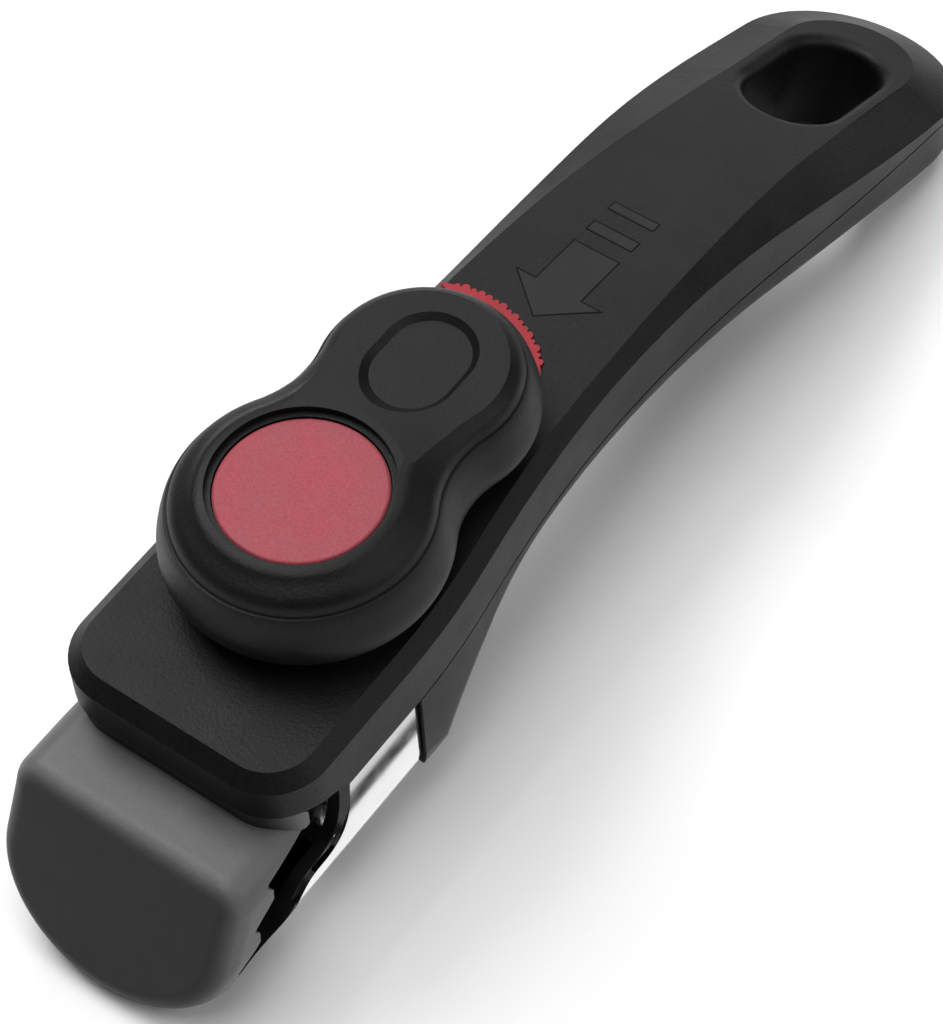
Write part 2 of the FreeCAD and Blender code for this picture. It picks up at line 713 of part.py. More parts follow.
def make_base_plate():
    plate = box(BAY_FRONT + 0.4, -43.5, -18.6, 18.6, BASE_Z, BASE_Z + BASE_T)
    corners = [e for e in plate.Edges if abs(e.tangentAt(e.FirstParameter).z) > 0.9]
    plate = plate.makeFillet(3.0, corners).cut(rod(6.2, 0.0, 60.0))
    for x, y in POST_SPOTS:
        plate = plate.cut(rod(SCREW_R + 0.1, 0.0, 60.0, x, y))
    plate = plate.cut(rod(ARM_PIN_R, 0.0, 60.0, ARM_PIN_X, ARM_PIN_Y))
    reach = ARM_PIN_R + 0.6
    return plate.cut(stadium(AXLE_X - reach, AXLE_X + AXLE_SWING + reach, reach, 0.0, 60.0))


def make_frame_posts():
    foot = BASE_Z + BASE_T
    return Part.makeCompound([ring(2.5, SCREW_R + 0.1, foot, FRAME_Z, x, y) for x, y in POST_SPOTS])


def make_frame_screws():
    screws = []
    for x, y in POST_SPOTS:
        shank = rod(SCREW_R, BASE_Z, 38.0, x, y)
        head = rod(2.7, BASE_Z - 1.6, BASE_Z, x, y)
        screws.append(shank.fuse(head).cut(rod(1.1, BASE_Z - 2.0, BASE_Z - 0.7, x, y)))
    return Part.makeCompound(screws)


def make_drive_shaft():
    shaft = rod(SHAFT_R, 4.6, 54.0)
    shaft = shaft.cut(ring(SHAFT_R + 1.0, SHAFT_R - 0.7, 5.2, 6.1))
    return shaft.cut(rod(1.4, 46.0, 60.0))


def make_drive_wheel():
    wheel = ring(WHEEL_R, SHAFT_R, WHEEL_Z, WHEEL_Z + WHEEL_T)
    for i in range(WHEEL_TEETH):
        angle = 2.0 * math.pi * i / WHEEL_TEETH
        x = KNOB_X + (WHEEL_R + 0.25) * math.cos(angle)
        y = (WHEEL_R + 0.25) * math.sin(angle)
        wheel = wheel.cut(rod(0.75, WHEEL_Z - 1.0, WHEEL_Z + WHEEL_T + 1.0, x, y))
    return wheel


def make_cutter_wheel():
    profile = [(ARM_PIN_R + RUN, 7.6), (5.2, 7.6), (CUTTER_R, 8.5), (5.2, 8.9), (ARM_PIN_R + RUN, 8.9)]
    corners = [Vector(AXLE_X + r, 0, z) for r, z in profile]
    corners.append(corners[0])
    face = Part.Face(Part.makePolygon(corners))
    return face.revolve(Vector(AXLE_X, 0, 0), Vector(0, 0, 1), 360)


def make_cutter_arm():
    low = BASE_Z + BASE_T + 0.2
    high = low + 1.6
    arm = rod(3.0, low, high, ARM_PIN_X, ARM_PIN_Y).fuse(rod(4.2, low, high, AXLE_X, 0))
    arm = arm.fuse(box(-74.2, -67.9, 0.0, ARM_PIN_Y, low, high))
    arm = arm.fuse(box(-70.0, -64.6, 3.4, 8.6, low, high))
    arm = arm.cut(rod(ARM_PIN_R + RUN, low - 1.0, high + 1.0, ARM_PIN_X, ARM_PIN_Y))
    return arm.cut(rod(ARM_PIN_R, low - 1.0, high + 1.0, AXLE_X, 0)).removeSplitter()


def make_cutter_axle():
    top = BASE_Z + BASE_T + 1.8
    return rod(ARM_PIN_R, 7.5, top, AXLE_X, 0).fuse(rod(3.4, 6.2, 7.5, AXLE_X, 0)).removeSplitter()


# ---------------------------------------------------------------- knob and button

def pear_wire(inset, z):
    """The knob's outline as a wire at one height."""
    bottom = [face for face in pear(inset, z, z + 1.0).Faces if face.BoundBox.ZLength < 0.01]
    bottom.sort(key=lambda face: face.BoundBox.ZMin)
    return bottom[0].OuterWire


def knob_roof():
    """Everything under the knob's top surface, which rises softly towards the button."""
    points = [(14.0, KNOB_TOP), (15.6, 64.0), (18.2, 63.4), (21.4, 62.8), (25.4, 62.5), (30.0, PLATEAU)]
    crest = Vector(KNOB_X, 0, KNOB_TOP)
    corner = Vector(KNOB_X + 60.0, 0, PLATEAU)
    foot = Vector(KNOB_X + 60.0, 0, SHOULDER - 3.0)
    centre = Vector(KNOB_X, 0, SHOULDER - 3.0)
    slope = [Vector(KNOB_X + r, 0, z) for r, z in points]
    edges = [
        Part.makeLine(crest, slope[0]),
        curve_through(slope),
        Part.makeLine(slope[-1], corner),
        Part.makeLine(corner, foot),
        Part.makeLine(foot, centre),
        Part.makeLine(centre, crest),
    ]
    return Part.Face(Part.Wire(edges)).revolve(Vector(KNOB_X, 0, 0), Vector(0, 0, 1), 360)


def thumb_dish():
    """Long shallow hollow with sloping walls and a flat floor, for the thumb."""
    clear = 1.2
    low = PLATEAU - DIMPLE
    high = PLATEAU + clear
    foot = DISH_HALF - DIMPLE * DISH_FLARE
    top = DISH_HALF + clear * DISH_FLARE
    cones = [Part.makeCone(foot, top, high - low, Vector(x, 0, low)) for x in (DISH_X0, DISH_X1)]
    corners = [(-foot, low), (foot, low), (top, high), (-top, high), (-foot, low)]
    outline = Part.makePolygon([Vector(DISH_X0, y, z) for y, z in corners])
    channel = Part.Face(outline).extrude(Vector(DISH_X1 - DISH_X0, 0, 0))
    return cones[0].fuse(cones[1]).fuse(channel).removeSplitter()


def make_knob_cover():
    skirt = [(2.4, KNOB_BOTTOM), (1.0, 48.8), (0.0, 51.2), (0.2, 54.4), (0.9, 57.2), (1.7, SHOULDER)]
    body = Part.makeLoft([pear_wire(inset, z) for inset, z in skirt], True, False)
    crown = [(2.0, SHOULDER - 0.4), (2.15, SHOULDER), (2.5, 60.4), (3.4, 61.6), (5.2, 62.7), (8.4, 64.0)]
    lid = Part.makeLoft([pear_wire(inset, z) for inset, z in crown], True, False)
    cover = body.fuse(lid.common(knob_roof()))
    cover = cover.cut(pear(2.4, KNOB_BOTTOM - 1.0, 57.2))
    cover = cover.cut(rod(BUTTON_R + 0.15, 50.0, 70.0)).cut(rod(BUTTON_R + 1.1, BUTTON_TOP, 70.0))
    cover = cover.cut(thumb_dish())
    for x, y in knob_screw_spots():
        cover = cover.fuse(rod(2.6, KNOB_BOTTOM + 2.5, 58.0, x, y))
        cover = cover.cut(rod(1.2, KNOB_BOTTOM, 56.0, x, y))
    return cover.removeSplitter()


def knob_screw_spots():
    spots = [(KNOB_X + SMALL_OFFSET, 0.0)]
    for angle in (math.radians(120.0), math.radians(240.0)):
        spots.append((KNOB_X + 17.0 * math.cos(angle), 17.0 * math.sin(angle)))
    return spots


def leg_sector(r_in, r_out, half_angle, z0, z1):
    """Three upright legs on a circle round the shaft."""
    wedge = []
    for i in range(3):
        mid = math.radians(60.0 + 120.0 * i)
        a = mid - half_angle
        b = mid + half_angle
        far = 20.0
        corners = [
            Vector(KNOB_X, 0, z0),
            Vector(KNOB_X + far * math.cos(a), far * math.sin(a), z0),
            Vector(KNOB_X + far * math.cos(b), far * math.sin(b), z0),
            Vector(KNOB_X, 0, z0),
        ]
        slice_ = Part.Face(Part.makePolygon(corners)).extrude(Vector(0, 0, z1 - z0))
        wedge.append(slice_.common(ring(r_out, r_in, z0, z1)))
    return wedge


def make_knob_base():
    base = pear(2.4, KNOB_BOTTOM, KNOB_BOTTOM + 2.5)
    base = base.fuse(rod(5.3, KNOB_BOTTOM, 54.0))
    for leg in leg_sector(5.35, 7.9, math.radians(25.0), KNOB_BOTTOM - 1.0, 56.0):
        base = base.cut(leg)
    base = base.cut(rod(SHAFT_R, 40.0, 60.0))
    for x, y in knob_screw_spots():
        base = base.cut(rod(1.4, 40.0, 60.0, x, y)).cut(rod(2.3, 40.0, KNOB_BOTTOM + 1.4, x, y))
    return base.removeSplitter()


def make_knob_screws():
    screws = []
    for x, y in knob_screw_spots():
        shank = rod(1.2, KNOB_BOTTOM + 1.4, 55.8, x, y)
        head = rod(2.2, KNOB_BOTTOM + 0.1, KNOB_BOTTOM + 1.4, x, y)
        screws.append(shank.fuse(head).cut(rod(0.8, KNOB_BOTTOM, KNOB_BOTTOM + 0.8, x, y)))
    return Part.makeCompound(screws)


def make_push_button():
    button = rod(BUTTON_R, 55.6, BUTTON_TOP).fuse(rod(BUTTON_R + 0.9, 55.6, 57.0))
    rim = [e for e in button.Edges if e.BoundBox.ZMin > BUTTON_TOP - 0.01]
    button = button.makeFillet(0.6, rim)
    return button.cut(rod(11.2, 50.0, BUTTON_TOP - 2.0))


def make_push_collar():
    collar = ring(8.0, SHAFT_R + RUN, 39.0, 43.0)
    for leg in leg_sector(5.5, 7.6, math.radians(20.0), 42.0, BUTTON_TOP - 2.0):
        collar = collar.fuse(leg)
    return collar.removeSplitter()


def main():
    save("top_shell", make_top_shell())
    save("lower_shell", make_lower_shell())
    save("handle_screws", make_handle_screws())
    save("start_marker", marker(0.05).common(box(-20, 20, -20, 20, 0, HEAD_TOP + 0.4)))
    save("head_body", make_head_body())
    save("rear_jaw", make_rear_jaw())
    save("front_jaw", make_front_jaw())
    save("jaw_lever", make_jaw_lever())
    save("lever_rivets", make_lever_rivets())
    save("jaw_pin", cross_rod(JAW_PIN_R, JAW_PIN_X, JAW_PIN_Z, -18.8, 18.8))
    save("jaw_spring", coil(2.35, 0.4, 1.1, 7.0, Vector(JAW_PIN_X, -3.5, JAW_PIN_Z), True))
    save("frame_plate", make_frame_plate())
    save("base_plate", make_base_plate())
    save("frame_posts", make_frame_posts())
    save("frame_screws", make_frame_screws())
    upper = ring(6.0, SHAFT_R + RUN, 27.0, 31.3).fuse(ring(6.8, SHAFT_R + RUN, 30.6, 31.3))
    save("upper_bush", upper.removeSplitter())
    save("lower_bush", ring(6.2, SHAFT_R + RUN, BASE_Z, 14.0))
    save("thrust_washer", ring(12.2, 9.2, 47.0, 47.9))
    save("drive_shaft", make_drive_shaft())
    save("drive_wheel", make_drive_wheel())
    save("wheel_clip", ring(6.0, SHAFT_R - 0.7, 5.2, 6.1))
    save("drag_washer", ring(8.6, SHAFT_R, 14.3, 15.0))
    save("cutter_arm", make_cutter_arm())
    save("cutter_axle", make_cutter_axle())
    save("cutter_wheel", make_cutter_wheel())
    save("arm_pin", rod(ARM_PIN_R, BASE_Z, 18.0, ARM_PIN_X, ARM_PIN_Y))
    save("arm_spring", coil(2.75, 0.35, 0.95, 2.4, Vector(ARM_PIN_X, ARM_PIN_Y, 14.8)))
    save("knob_cover", make_knob_cover())
    save("knob_base", make_knob_base())
    save("knob_screws", make_knob_screws())
    save("hub_screw", rod(1.4, 46.5, 54.0).fuse(rod(3.0, 54.0, 55.8)).removeSplitter())
    save("push_button", make_push_button())
    save("push_collar", make_push_collar())
    save("button_spring", coil(9.4, 0.5, 2.2, 9.0, Vector(KNOB_X, 0, 51.1)))


main()
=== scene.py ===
import json
import math

import bmesh
import bpy
from mathutils import Matrix, Vector


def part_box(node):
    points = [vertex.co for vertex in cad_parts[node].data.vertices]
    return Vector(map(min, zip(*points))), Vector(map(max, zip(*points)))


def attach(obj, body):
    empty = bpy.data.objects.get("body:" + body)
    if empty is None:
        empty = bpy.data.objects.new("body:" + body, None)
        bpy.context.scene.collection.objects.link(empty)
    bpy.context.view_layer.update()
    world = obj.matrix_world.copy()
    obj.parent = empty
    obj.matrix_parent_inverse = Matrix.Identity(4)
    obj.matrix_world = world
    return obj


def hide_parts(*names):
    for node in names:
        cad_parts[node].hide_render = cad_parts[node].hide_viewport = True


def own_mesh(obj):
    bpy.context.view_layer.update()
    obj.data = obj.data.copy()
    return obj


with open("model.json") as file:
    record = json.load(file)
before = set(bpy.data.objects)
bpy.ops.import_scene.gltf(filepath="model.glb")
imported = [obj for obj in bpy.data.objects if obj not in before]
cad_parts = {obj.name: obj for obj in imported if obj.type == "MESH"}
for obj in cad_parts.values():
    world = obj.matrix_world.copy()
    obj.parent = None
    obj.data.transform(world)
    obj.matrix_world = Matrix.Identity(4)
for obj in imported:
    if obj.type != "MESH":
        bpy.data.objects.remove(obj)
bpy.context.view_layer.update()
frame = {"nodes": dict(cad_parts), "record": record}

SCENE = bpy.context.scene
MM = 0.001


# ------------------------------------------------------------------ materials

class Surface:
    """A Principled material with helpers for its procedural detail, in row-frame metres."""

    def __init__(self, name, metallic=0.0, **sockets):
        self.material = bpy.data.materials.new(name)
        self.material.use_nodes = True
        self.tree = self.material.node_tree
        self.shader = self.tree.nodes["Principled BSDF"]
        self.shader.inputs["Metallic"].default_value = metallic
        for socket, value in sockets.items():
            self.shader.inputs[socket.replace("_", " ")].default_value = value
        self.place = self.node("ShaderNodeTexCoord").outputs["Object"]
        self.relief = None

    def node(self, kind, **settings):
        made = self.tree.nodes.new(kind)
        for name, value in settings.items():
            setattr(made, name, value)
        return made

    def link(self, source, target):
        self.tree.links.new(source, target)

    def noise(self, size_mm, stretch=(1.0, 1.0, 1.0), detail=3.0, rough=0.55, shift=0.0):
        """Noise with features of that size, drawn out by stretch along x, y and z."""
        mapping = self.node("ShaderNodeMapping")
        mapping.inputs["Location"].default_value = (shift, 0.7 * shift, 1.3 * shift)
        mapping.inputs["Scale"].default_value = tuple(1.0 / (size_mm * MM * s) for s in stretch)
        self.link(self.place, mapping.inputs["Vector"])
        texture = self.node("ShaderNodeTexNoise")
        texture.inputs["Scale"].default_value = 1.0
        texture.inputs["Detail"].default_value = detail
        texture.inputs["Roughness"].default_value = rough
        self.link(mapping.outputs["Vector"], texture.inputs["Vector"])
        return texture.outputs["Fac"]

    def pits(self, size_mm):
        """Rounded cells, for the spark-eroded grain of a moulding."""
        mapping = self.node("ShaderNodeMapping")
        mapping.inputs["Scale"].default_value = (1.0 / (size_mm * MM),) * 3
        self.link(self.place, mapping.inputs["Vector"])
        texture = self.node("ShaderNodeTexVoronoi", feature="SMOOTH_F1")
        texture.inputs["Scale"].default_value = 1.0
        texture.inputs["Smoothness"].default_value = 0.6
        self.link(mapping.outputs["Vector"], texture.inputs["Vector"])
        return texture.outputs["Distance"]

    def spread(self, fac, low, high, start=0.3, end=0.7):
        """fac stretched so that start and end become low and high."""
        stretch = self.node("ShaderNodeMapRange")
        self.link(fac, stretch.inputs["Value"])
        stretch.inputs["From Min"].default_value = start
        stretch.inputs["From Max"].default_value = end
        stretch.inputs["To Min"].default_value = low
        stretch.inputs["To Max"].default_value = high
        return stretch.outputs["Result"]

    def between(self, fac, dark, light, start=0.3, end=0.7):
        """Colour that runs from dark to light as fac goes from start to end."""
        ramp = self.node("ShaderNodeValToRGB")
        ramp.color_ramp.elements[0].position = start
        ramp.color_ramp.elements[0].color = (*dark, 1.0)
        ramp.color_ramp.elements[1].position = end
        ramp.color_ramp.elements[1].color = (*light, 1.0)
        self.link(fac, ramp.inputs["Fac"])
        return ramp.outputs["Color"]

    def facing_x(self):
        """The X part of the surface's own normal, from -1 on faces that look towards -X to 1 on faces
        that look towards +X.
        """
        split = self.node("ShaderNodeSeparateXYZ")
        self.link(self.node("ShaderNodeTexCoord").outputs["Normal"], split.inputs["Vector"])
        return split.outputs["X"]

    def tint(self, colour, fac, low, high, start=0.3, end=0.7):
        """colour brightened or darkened by a factor from low to high."""
        scale = self.node("ShaderNodeVectorMath", operation="SCALE")
        self.link(colour, scale.inputs[0])
        self.link(self.spread(fac, low, high, start, end), scale.inputs["Scale"])
        return scale.outputs["Vector"]

    def colour(self, output):
        self.link(output, self.shader.inputs["Base Color"])

    def roughness(self, fac, low, high):
        self.link(self.spread(fac, low, high), self.shader.inputs["Roughness"])

    def bump(self, height, depth_mm, strength=1.0):
        """Relief of that depth, added to the relief that is already there."""
        node = self.node("ShaderNodeBump")
        node.inputs["Strength"].default_value = strength
        node.inputs["Distance"].default_value = depth_mm * MM
        self.link(height, node.inputs["Height"])
        if self.relief:
            self.link(self.relief, node.inputs["Normal"])
        self.relief = node.outputs["Normal"]
        self.link(self.relief, self.shader.inputs["Normal"])


def shade(colour, factor):
    return tuple(channel * factor for channel in colour)


def moulding(name, colour, grain_mm, depth_mm, rough, specular=0.5, speckle=0.25, front_shade=1.0):
    """Moulded plastic with an eroded grain; the last argument darkens the colour and halves the
    specular level of the faces that look towards -X: painted shade.
    """
    surface = Surface(name, Specular_IOR_Level=specular)
    fine = surface.noise(grain_mm, detail=2.0)
    cloud = surface.noise(11.0, detail=4.0, shift=3.1)
    base = surface.between(fine, shade(colour, 1.0 - speckle), shade(colour, 1.0 + speckle))
    base = surface.tint(base, cloud, 0.88, 1.12)
    # painted shade: faces that look towards -X get a darker colour and half the specular level
    if front_shade != 1.0:
        facing = surface.facing_x()
        base = surface.tint(base, facing, front_shade, 1.0, -0.92, -0.45)
        gloss = surface.spread(facing, 0.5 * specular, specular, -0.92, -0.45)
        surface.link(gloss, surface.shader.inputs["Specular IOR Level"])
    surface.colour(base)
    surface.roughness(cloud, rough - 0.05, rough + 0.05)
    surface.bump(surface.noise(7.0, detail=2.0, shift=8.0), 0.03, 0.25)
    surface.bump(surface.pits(grain_mm * 1.6), depth_mm, 0.8)
    surface.bump(fine, depth_mm * 0.7, 0.7)
    return surface.material


def sheet_metal(name, colour, along, rough, depth_mm=0.004):
    """Brushed metal with its lines drawn out along one direction."""
    surface = Surface(name, metallic=1.0, Anisotropic=0.35)
    lines = surface.noise(0.16, stretch=along, detail=4.0, rough=0.7)
    stain = surface.noise(6.0, detail=4.0, shift=5.0)
    base = surface.between(lines, shade(colour, 0.84), shade(colour, 1.1))
    surface.colour(surface.tint(base, stain, 0.9, 1.06))
    surface.roughness(stain, rough - 0.06, rough + 0.08)
    surface.bump(lines, depth_mm, 0.6)
    return surface.material


def mirror_metal(name, colour):
    """Polished metal with faint wipe marks and hairlines."""
    surface = Surface(name, metallic=1.0)
    wipe = surface.noise(5.0, stretch=(1.0, 4.0, 1.0), detail=5.0)
    hair = surface.noise(0.12, stretch=(1.0, 30.0, 1.0), detail=2.0, shift=2.0)
    surface.colour(surface.between(wipe, shade(colour, 0.96), shade(colour, 1.03)))
    surface.roughness(wipe, 0.05, 0.11)
    surface.bump(hair, 0.0012, 0.35)
    return surface.material


def red_disc(name, colour, light):
    """Matte red moulding with a fine mottle of lighter specks painted into its colour: painted glints
    standing in for its grain catching the light.
    """
    surface = Surface(name, Specular_IOR_Level=0.4, Sheen_Weight=0.12, Sheen_Roughness=0.5)
    fine = surface.noise(0.34, detail=3.0, rough=0.65)
    patch = surface.noise(6.0, detail=3.0, shift=4.0)
    # painted glints: the fine noise lifts the colour towards the lighter red in small specks
    base = surface.between(fine, colour, light, 0.34, 0.68)
    surface.colour(surface.tint(base, patch, 0.93, 1.10))
    surface.roughness(patch, 0.5, 0.62)
    surface.bump(surface.pits(0.55), 0.02, 0.7)
    surface.bump(fine, 0.02, 0.7)
    return surface.material


EVEN = (1.0, 1.0, 1.0)
ALONG_X = (40.0, 1.0, 1.0)
ROUND_Z = (30.0, 30.0, 1.0)
BLACK = (0.0060, 0.0060, 0.0062)


def make_slots():
    return {
        # the last argument darkens the faces that look towards -X: painted shade
        "black_shell": moulding("moulded_black", BLACK, 0.33, 0.042, 0.46, 0.17, 0.6, 0.3),
        "black_knob": moulding("moulded_knob", shade(BLACK, 0.8), 0.30, 0.034, 0.45, 0.18, 0.5),
        "black_liner": moulding("moulded_liner", shade(BLACK, 0.5), 0.5, 0.01, 0.5, 0.3),
        # the last argument darkens the jaw's faces that look towards -X: painted shade
        "grey_jaw": moulding("moulded_grey", (0.118, 0.118, 0.121), 0.3, 0.010, 0.42, 0.22, 0.08, 0.2),
        "red_plastic": moulding("moulded_red", (0.29, 0.016, 0.023), 0.3, 0.016, 0.45, 0.22, 0.12),
        # the second colour is the lighter red of the painted glints
        "red_button": red_disc("button_red", (0.245, 0.024, 0.036), (0.335, 0.043, 0.064)),
        "bright_steel": mirror_metal("polished_steel", (0.82, 0.82, 0.83)),
        "plate_steel": sheet_metal("stamped_steel", (0.50, 0.50, 0.51), ALONG_X, 0.34),
        "pin_steel": sheet_metal("turned_steel", (0.56, 0.56, 0.57), ROUND_Z, 0.26),
        "screw_steel": sheet_metal("zinc_plate", (0.46, 0.46, 0.45), EVEN, 0.36),
        "spring_steel": sheet_metal("spring_wire", (0.36, 0.36, 0.37), ALONG_X, 0.32),
        "wheel_steel": sheet_metal("ground_steel", (0.60, 0.60, 0.61), ROUND_Z, 0.22),
        "bush_brass": sheet_metal("turned_brass", (0.62, 0.45, 0.20), ROUND_Z, 0.28),
        "white_washer": moulding("nylon", (0.70, 0.69, 0.64), 0.5, 0.01, 0.4, 0.5, 0.04),
    }


def paint(piece, material):
    if not piece.material_slots:
        piece.data.materials.append(material)
    for held in piece.material_slots:
        held.link = "OBJECT"
        held.material = material


def paint_frame(slots):
    for part in frame["record"]["subparts"]:
        paint(frame["nodes"][part["node"]], slots[part["material_slot"]])


# ------------------------------------------------------------------ the button's spring


def make_button_coil(material):
    """The coil under the button, drawn as a piece of its own and hung on the knob's body."""
    coil = bpy.data.objects.new("button_coil", frame["nodes"]["button_spring"].data.copy())
    SCENE.collection.objects.link(coil)
    paint(coil, material)
    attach(coil, "knob")
    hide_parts("button_spring")
    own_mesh(coil)


# ------------------------------------------------------------------ the handle's direction mark

ARCH_START = -10.0
ARCH_RADIUS = 222.0
MARK_TIP = 1.8
HEAD_BASE = 9.0
HEAD_HALF = 8.5
STEM_HALF = 4.5
STEM_END = 19.7
BARS = [(22.8, 25.5), (29.0, 31.3)]
MARK_LIFT = 0.05
FACE_DROP = 0.02
SKIRT = 0.06
OUTLINE = 0.24
EDGE_STEP = 1.0
PAD_STEP = 0.5
MARKER_PROUD = 0.4


def handle_top():
    """Height of the handle's level stretch; the start marker's face stands just above it."""
    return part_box("start_marker")[1][2] / MM - MARKER_PROUD


def surface_height(x, level):
    """Height of the handle's top at x: level at first, then an arc that bends down."""
    bend = max(0.0, x - ARCH_START)
    return level - ARCH_RADIUS + math.sqrt(ARCH_RADIUS ** 2 - bend ** 2)


def grow(outline, by):
    """The closed outline moved out by that much, corner by corner."""
    count = len(outline)
    moved = []
    for i, point in enumerate(outline):
        before = (point - outline[i - 1]).normalized()
        after = (outline[(i + 1) % count] - point).normalized()
        normal = Vector((before.y, -before.x)) + Vector((after.y, -after.x))
        moved.append(point + normal * by / (0.5 * normal.length_squared))
    return moved


def sides(outline):
    return zip(outline, outline[1:] + outline[:1])


def side_cuts(outline):
    """How many steps each side of the outline is divided into."""
    return [max(1, math.ceil((b - a).length / EDGE_STEP)) for a, b in sides(outline)]


def divided(outline, cuts):
    """The outline with each of its sides divided into that many steps."""
    points = []
    for (a, b), count in zip(sides(outline), cuts):
        points += [a.lerp(b, i / count) for i in range(count)]
    return points


def add_piece(name, mesh_data, material, body):
    mesh = bpy.data.meshes.new(name)
    mesh_data.to_mesh(mesh)
    mesh_data.free()
    piece = bpy.data.objects.new(name, mesh)
    SCENE.collection.objects.link(piece)
    piece.data.materials.append(material)
    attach(piece, body)
    return piece


def band(outer, inner, level, lift, name, material):
    """A flat ring between two outlines, laid on the handle's curved top."""
    mesh = bmesh.new()
    loops = []
    for outline, drop in ((outer, SKIRT), (outer, 0.0), (inner, 0.0), (inner, SKIRT)):
        height = [surface_height(p.x, level) + lift - drop for p in outline]
        loops.append([mesh.verts.new((p.x * MM, p.y * MM, z * MM)) for p, z in zip(outline, height)])
    count = len(outer)
    for near, far in zip(loops, loops[1:] + loops[:1]):
        for i in range(count):
            k = (i + 1) % count
            mesh.faces.new((near[i], near[k], far[k], far[i]))
    bmesh.ops.recalc_face_normals(mesh, faces=mesh.faces)
    return add_piece(name, mesh, material, "housing")


def plaque(outline, level, lift, name, material):
    """A thin smooth pad with that outline, laid on the handle's curved top."""
    flat = bmesh.new()
    ring = [flat.verts.new((p.x * MM, p.y * MM, 0.0)) for p in outline]
    flat.faces.new(ring)
    bmesh.ops.triangulate(flat, faces=flat.faces)
    span = [p.x for p in outline]
    place = min(span) + PAD_STEP
    while place < max(span):
        parts = flat.verts[:] + flat.edges[:] + flat.faces[:]
        bmesh.ops.bisect_plane(flat, geom=parts, plane_co=(place * MM, 0, 0), plane_no=(1, 0, 0))
        place += PAD_STEP
    grown = bmesh.ops.extrude_face_region(flat, geom=flat.faces[:])
    top = {v for v in grown["geom"] if isinstance(v, bmesh.types.BMVert)}
    for vert in flat.verts:
        height = surface_height(vert.co.x / MM, level) + lift
        vert.co.z = (height if vert in top else height - SKIRT) * MM
    bmesh.ops.recalc_face_normals(flat, faces=flat.faces)
    return add_piece(name, flat, material, "housing")


def arrow_outline():
    corners = [(MARK_TIP, 0.0), (HEAD_BASE, -HEAD_HALF), (HEAD_BASE, -STEM_HALF)]
    corners += [(STEM_END, -STEM_HALF), (STEM_END, STEM_HALF), (HEAD_BASE, STEM_HALF)]
    corners += [(HEAD_BASE, HEAD_HALF)]
    return [Vector(c) for c in corners]


def bar_outline(x0, x1):
    corners = [(x0, -STEM_HALF), (x1, -STEM_HALF), (x1, STEM_HALF), (x0, STEM_HALF)]
    return [Vector(c) for c in corners]


def make_direction_mark():
    """Arrow and two bars moulded smooth in the grained top, each with a fine dark outline: a flat band
    whose dark colour is painted shade of a sunken line.
    """
    smooth = moulding("smooth_black", shade(BLACK, 1.1), 1.2, 0.004, 0.50, 0.24, 0.06)
    # painted shade: the flat outline band is coloured far darker than the moulding, standing in for
    # the shade of a sunken line around each mark
    outline_shade = moulding("outline_painted_shade", shade(BLACK, 0.25), 0.6, 0.006, 0.6, 0.1)
    level = handle_top()
    marks = [("arrow", arrow_outline())]
    marks += [("bar_%d" % (i + 1), bar_outline(*bar)) for i, bar in enumerate(BARS)]
    for name, outline in marks:
        cuts = side_cuts(outline)
        face = grow(outline, -OUTLINE)
        outer = divided(outline, cuts)
        inner = divided(face, cuts)
        band(outer, inner, level, MARK_LIFT, name + "_outline", outline_shade)
        plaque(face, level, MARK_LIFT - FACE_DROP, name + "_face", smooth)


# ------------------------------------------------------------------ camera, lights and floor

CAMERA_TARGET = Vector((-0.0232, -0.0053, 0.0238))
CAMERA_DISTANCE = 0.524
CAMERA_AZIMUTH = math.radians(-50.9)
CAMERA_ELEVATION = math.radians(54.57)
CAMERA_ROLL = math.radians(-3.8)
CAMERA_LENS = 116.0


def make_camera():
    ca, sa = math.cos(CAMERA_AZIMUTH), math.sin(CAMERA_AZIMUTH)
    ce, se = math.cos(CAMERA_ELEVATION), math.sin(CAMERA_ELEVATION)
    back = Vector((sa * ce, -ca * ce, se))
    right = Vector((0, 0, 1)).cross(back).normalized()
    up = back.cross(right)
    turn = Matrix((right, up, back)).transposed().to_4x4()
    data = bpy.data.cameras.new("photo_camera")
    data.lens = CAMERA_LENS
    data.sensor_width = 36.0
    camera = bpy.data.objects.new("photo_camera", data)
    SCENE.collection.objects.link(camera)
    place = Matrix.Translation(CAMERA_TARGET + back * CAMERA_DISTANCE)
    camera.matrix_world = place @ turn @ Matrix.Rotation(CAMERA_ROLL, 4, "Z")
    SCENE.camera = camera


LIGHT_AIM = Vector((0.0, 0.0, 0.02))


def softbox(name, direction, distance, size, watts):
    """Square area light in that direction from the aim, in metres and watts."""
    data = bpy.data.lights.new(name, "AREA")
    data.energy = watts
    data.size = size
    light = bpy.data.objects.new(name, data)
    SCENE.collection.objects.link(light)
    heading = Vector(direction).normalized()
    light.location = LIGHT_AIM + heading * distance
    light.rotation_euler = heading.to_track_quat("Z", "Y").to_euler()


def make_world():
    """A dim room whose walls still show as white behind the object."""
    world = bpy.data.worlds.new("studio")
    world.use_nodes = True
    nodes = world.node_tree.nodes
    dim = nodes["Background"]
    dim.inputs["Color"].default_value = (1.0, 1.0, 1.0, 1.0)
    dim.inputs["Strength"].default_value = 0.06
    wall = nodes.new("ShaderNodeBackground")
    wall.inputs["Color"].default_value = (1.0, 1.0, 1.0, 1.0)
    wall.inputs["Strength"].default_value = 1.0
    either = nodes.new("ShaderNodeMixShader")
    links = world.node_tree.links
    links.new(nodes.new("ShaderNodeLightPath").outputs["Is Camera Ray"], either.inputs[0])
    links.new(dim.outputs[0], either.inputs[1])
    links.new(wall.outputs[0], either.inputs[2])
    links.new(either.outputs[0], nodes["World Output"].inputs["Surface"])
    SCENE.world = world
    SCENE.view_settings.view_transform = "Standard"


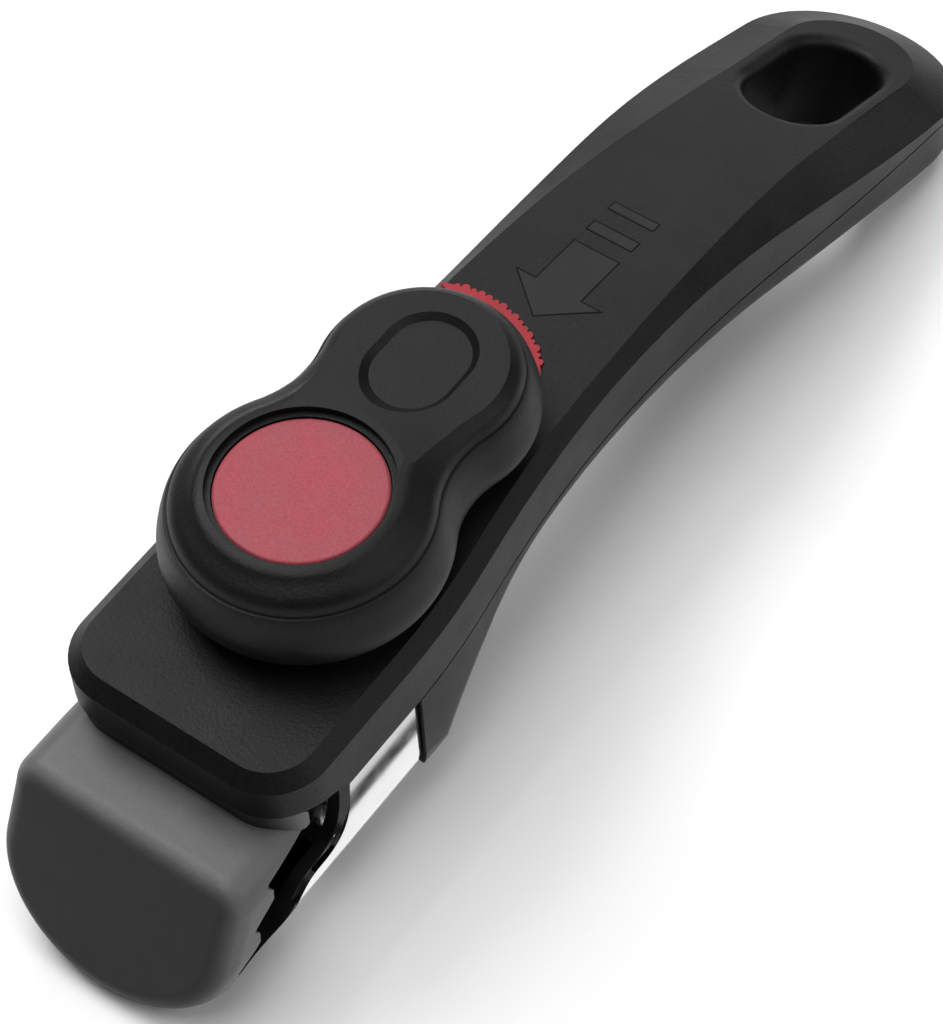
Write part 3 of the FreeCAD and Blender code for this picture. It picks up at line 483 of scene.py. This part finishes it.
def make_lights():
    softbox("sheen", (0.72, 0.37, 0.60), 1.2, 0.9, 5.0)
    softbox("top", (-0.10, 0.05, 1.0), 1.2, 0.9, 8.0)
    softbox("key", (0.10, 0.70, 1.0), 1.2, 0.6, 8.0)
    softbox("fill", (0.30, -1.0, 0.8), 1.4, 1.0, 6.0)


FLOOR_SIZE = 8.0
FADE_START = 0.35
FADE_END = 0.9


def make_floor():
    """Pale paper that fades into the white wall far from the object."""
    bpy.ops.mesh.primitive_plane_add(size=FLOOR_SIZE, location=(0, 0, 0))
    floor = bpy.context.object
    floor.name = "floor"
    material = bpy.data.materials.new("floor_paper")
    material.use_nodes = True
    shader = material.node_tree.nodes["Principled BSDF"]
    shader.inputs["Base Color"].default_value = (0.96, 0.96, 0.96, 1.0)
    shader.inputs["Roughness"].default_value = 0.9
    shader.inputs["Emission Color"].default_value = (1.0, 1.0, 1.0, 1.0)
    nodes = material.node_tree.nodes
    links = material.node_tree.links
    distance = nodes.new("ShaderNodeVectorMath")
    distance.operation = "LENGTH"
    glow = nodes.new("ShaderNodeMapRange")
    glow.inputs["From Min"].default_value = FADE_START
    glow.inputs["From Max"].default_value = FADE_END
    links.new(nodes.new("ShaderNodeTexCoord").outputs["Object"], distance.inputs[0])
    links.new(distance.outputs["Value"], glow.inputs["Value"])
    links.new(glow.outputs["Result"], shader.inputs["Emission Strength"])
    floor.data.materials.append(material)


CARD_X0 = -130.0
CARD_X1 = 20.0
CARD_Z = 0.2


def reflector_card(name, y0, y1, strength):
    """Card on the floor beside the head that only shows as a reflection in the glossy parts."""
    mesh = bpy.data.meshes.new(name)
    corners = [(CARD_X0, y0), (CARD_X1, y0), (CARD_X1, y1), (CARD_X0, y1)]
    mesh.from_pydata([(x * MM, y * MM, CARD_Z * MM) for x, y in corners], [], [(0, 1, 2, 3)])
    material = bpy.data.materials.new(name)
    material.use_nodes = True
    shader = material.node_tree.nodes["Principled BSDF"]
    shader.inputs["Base Color"].default_value = (0.0, 0.0, 0.0, 1.0)
    shader.inputs["Emission Color"].default_value = (1.0, 1.0, 1.0, 1.0)
    shader.inputs["Emission Strength"].default_value = strength
    mesh.materials.append(material)
    card = bpy.data.objects.new(name, mesh)
    SCENE.collection.objects.link(card)
    card.visible_camera = False
    card.visible_diffuse = False
    card.visible_shadow = False


def make_cards():
    reflector_card("white_card", -31.2, -22.5, 1.0)
    reflector_card("dark_card", -33.2, -31.2, 0.0)
    reflector_card("far_card", -60.0, -33.2, 0.75)


SLOTS = make_slots()
paint_frame(SLOTS)
make_button_coil(SLOTS["spring_steel"])
make_direction_mark()
make_camera()
make_world()
make_lights()
make_floor()
make_cards()
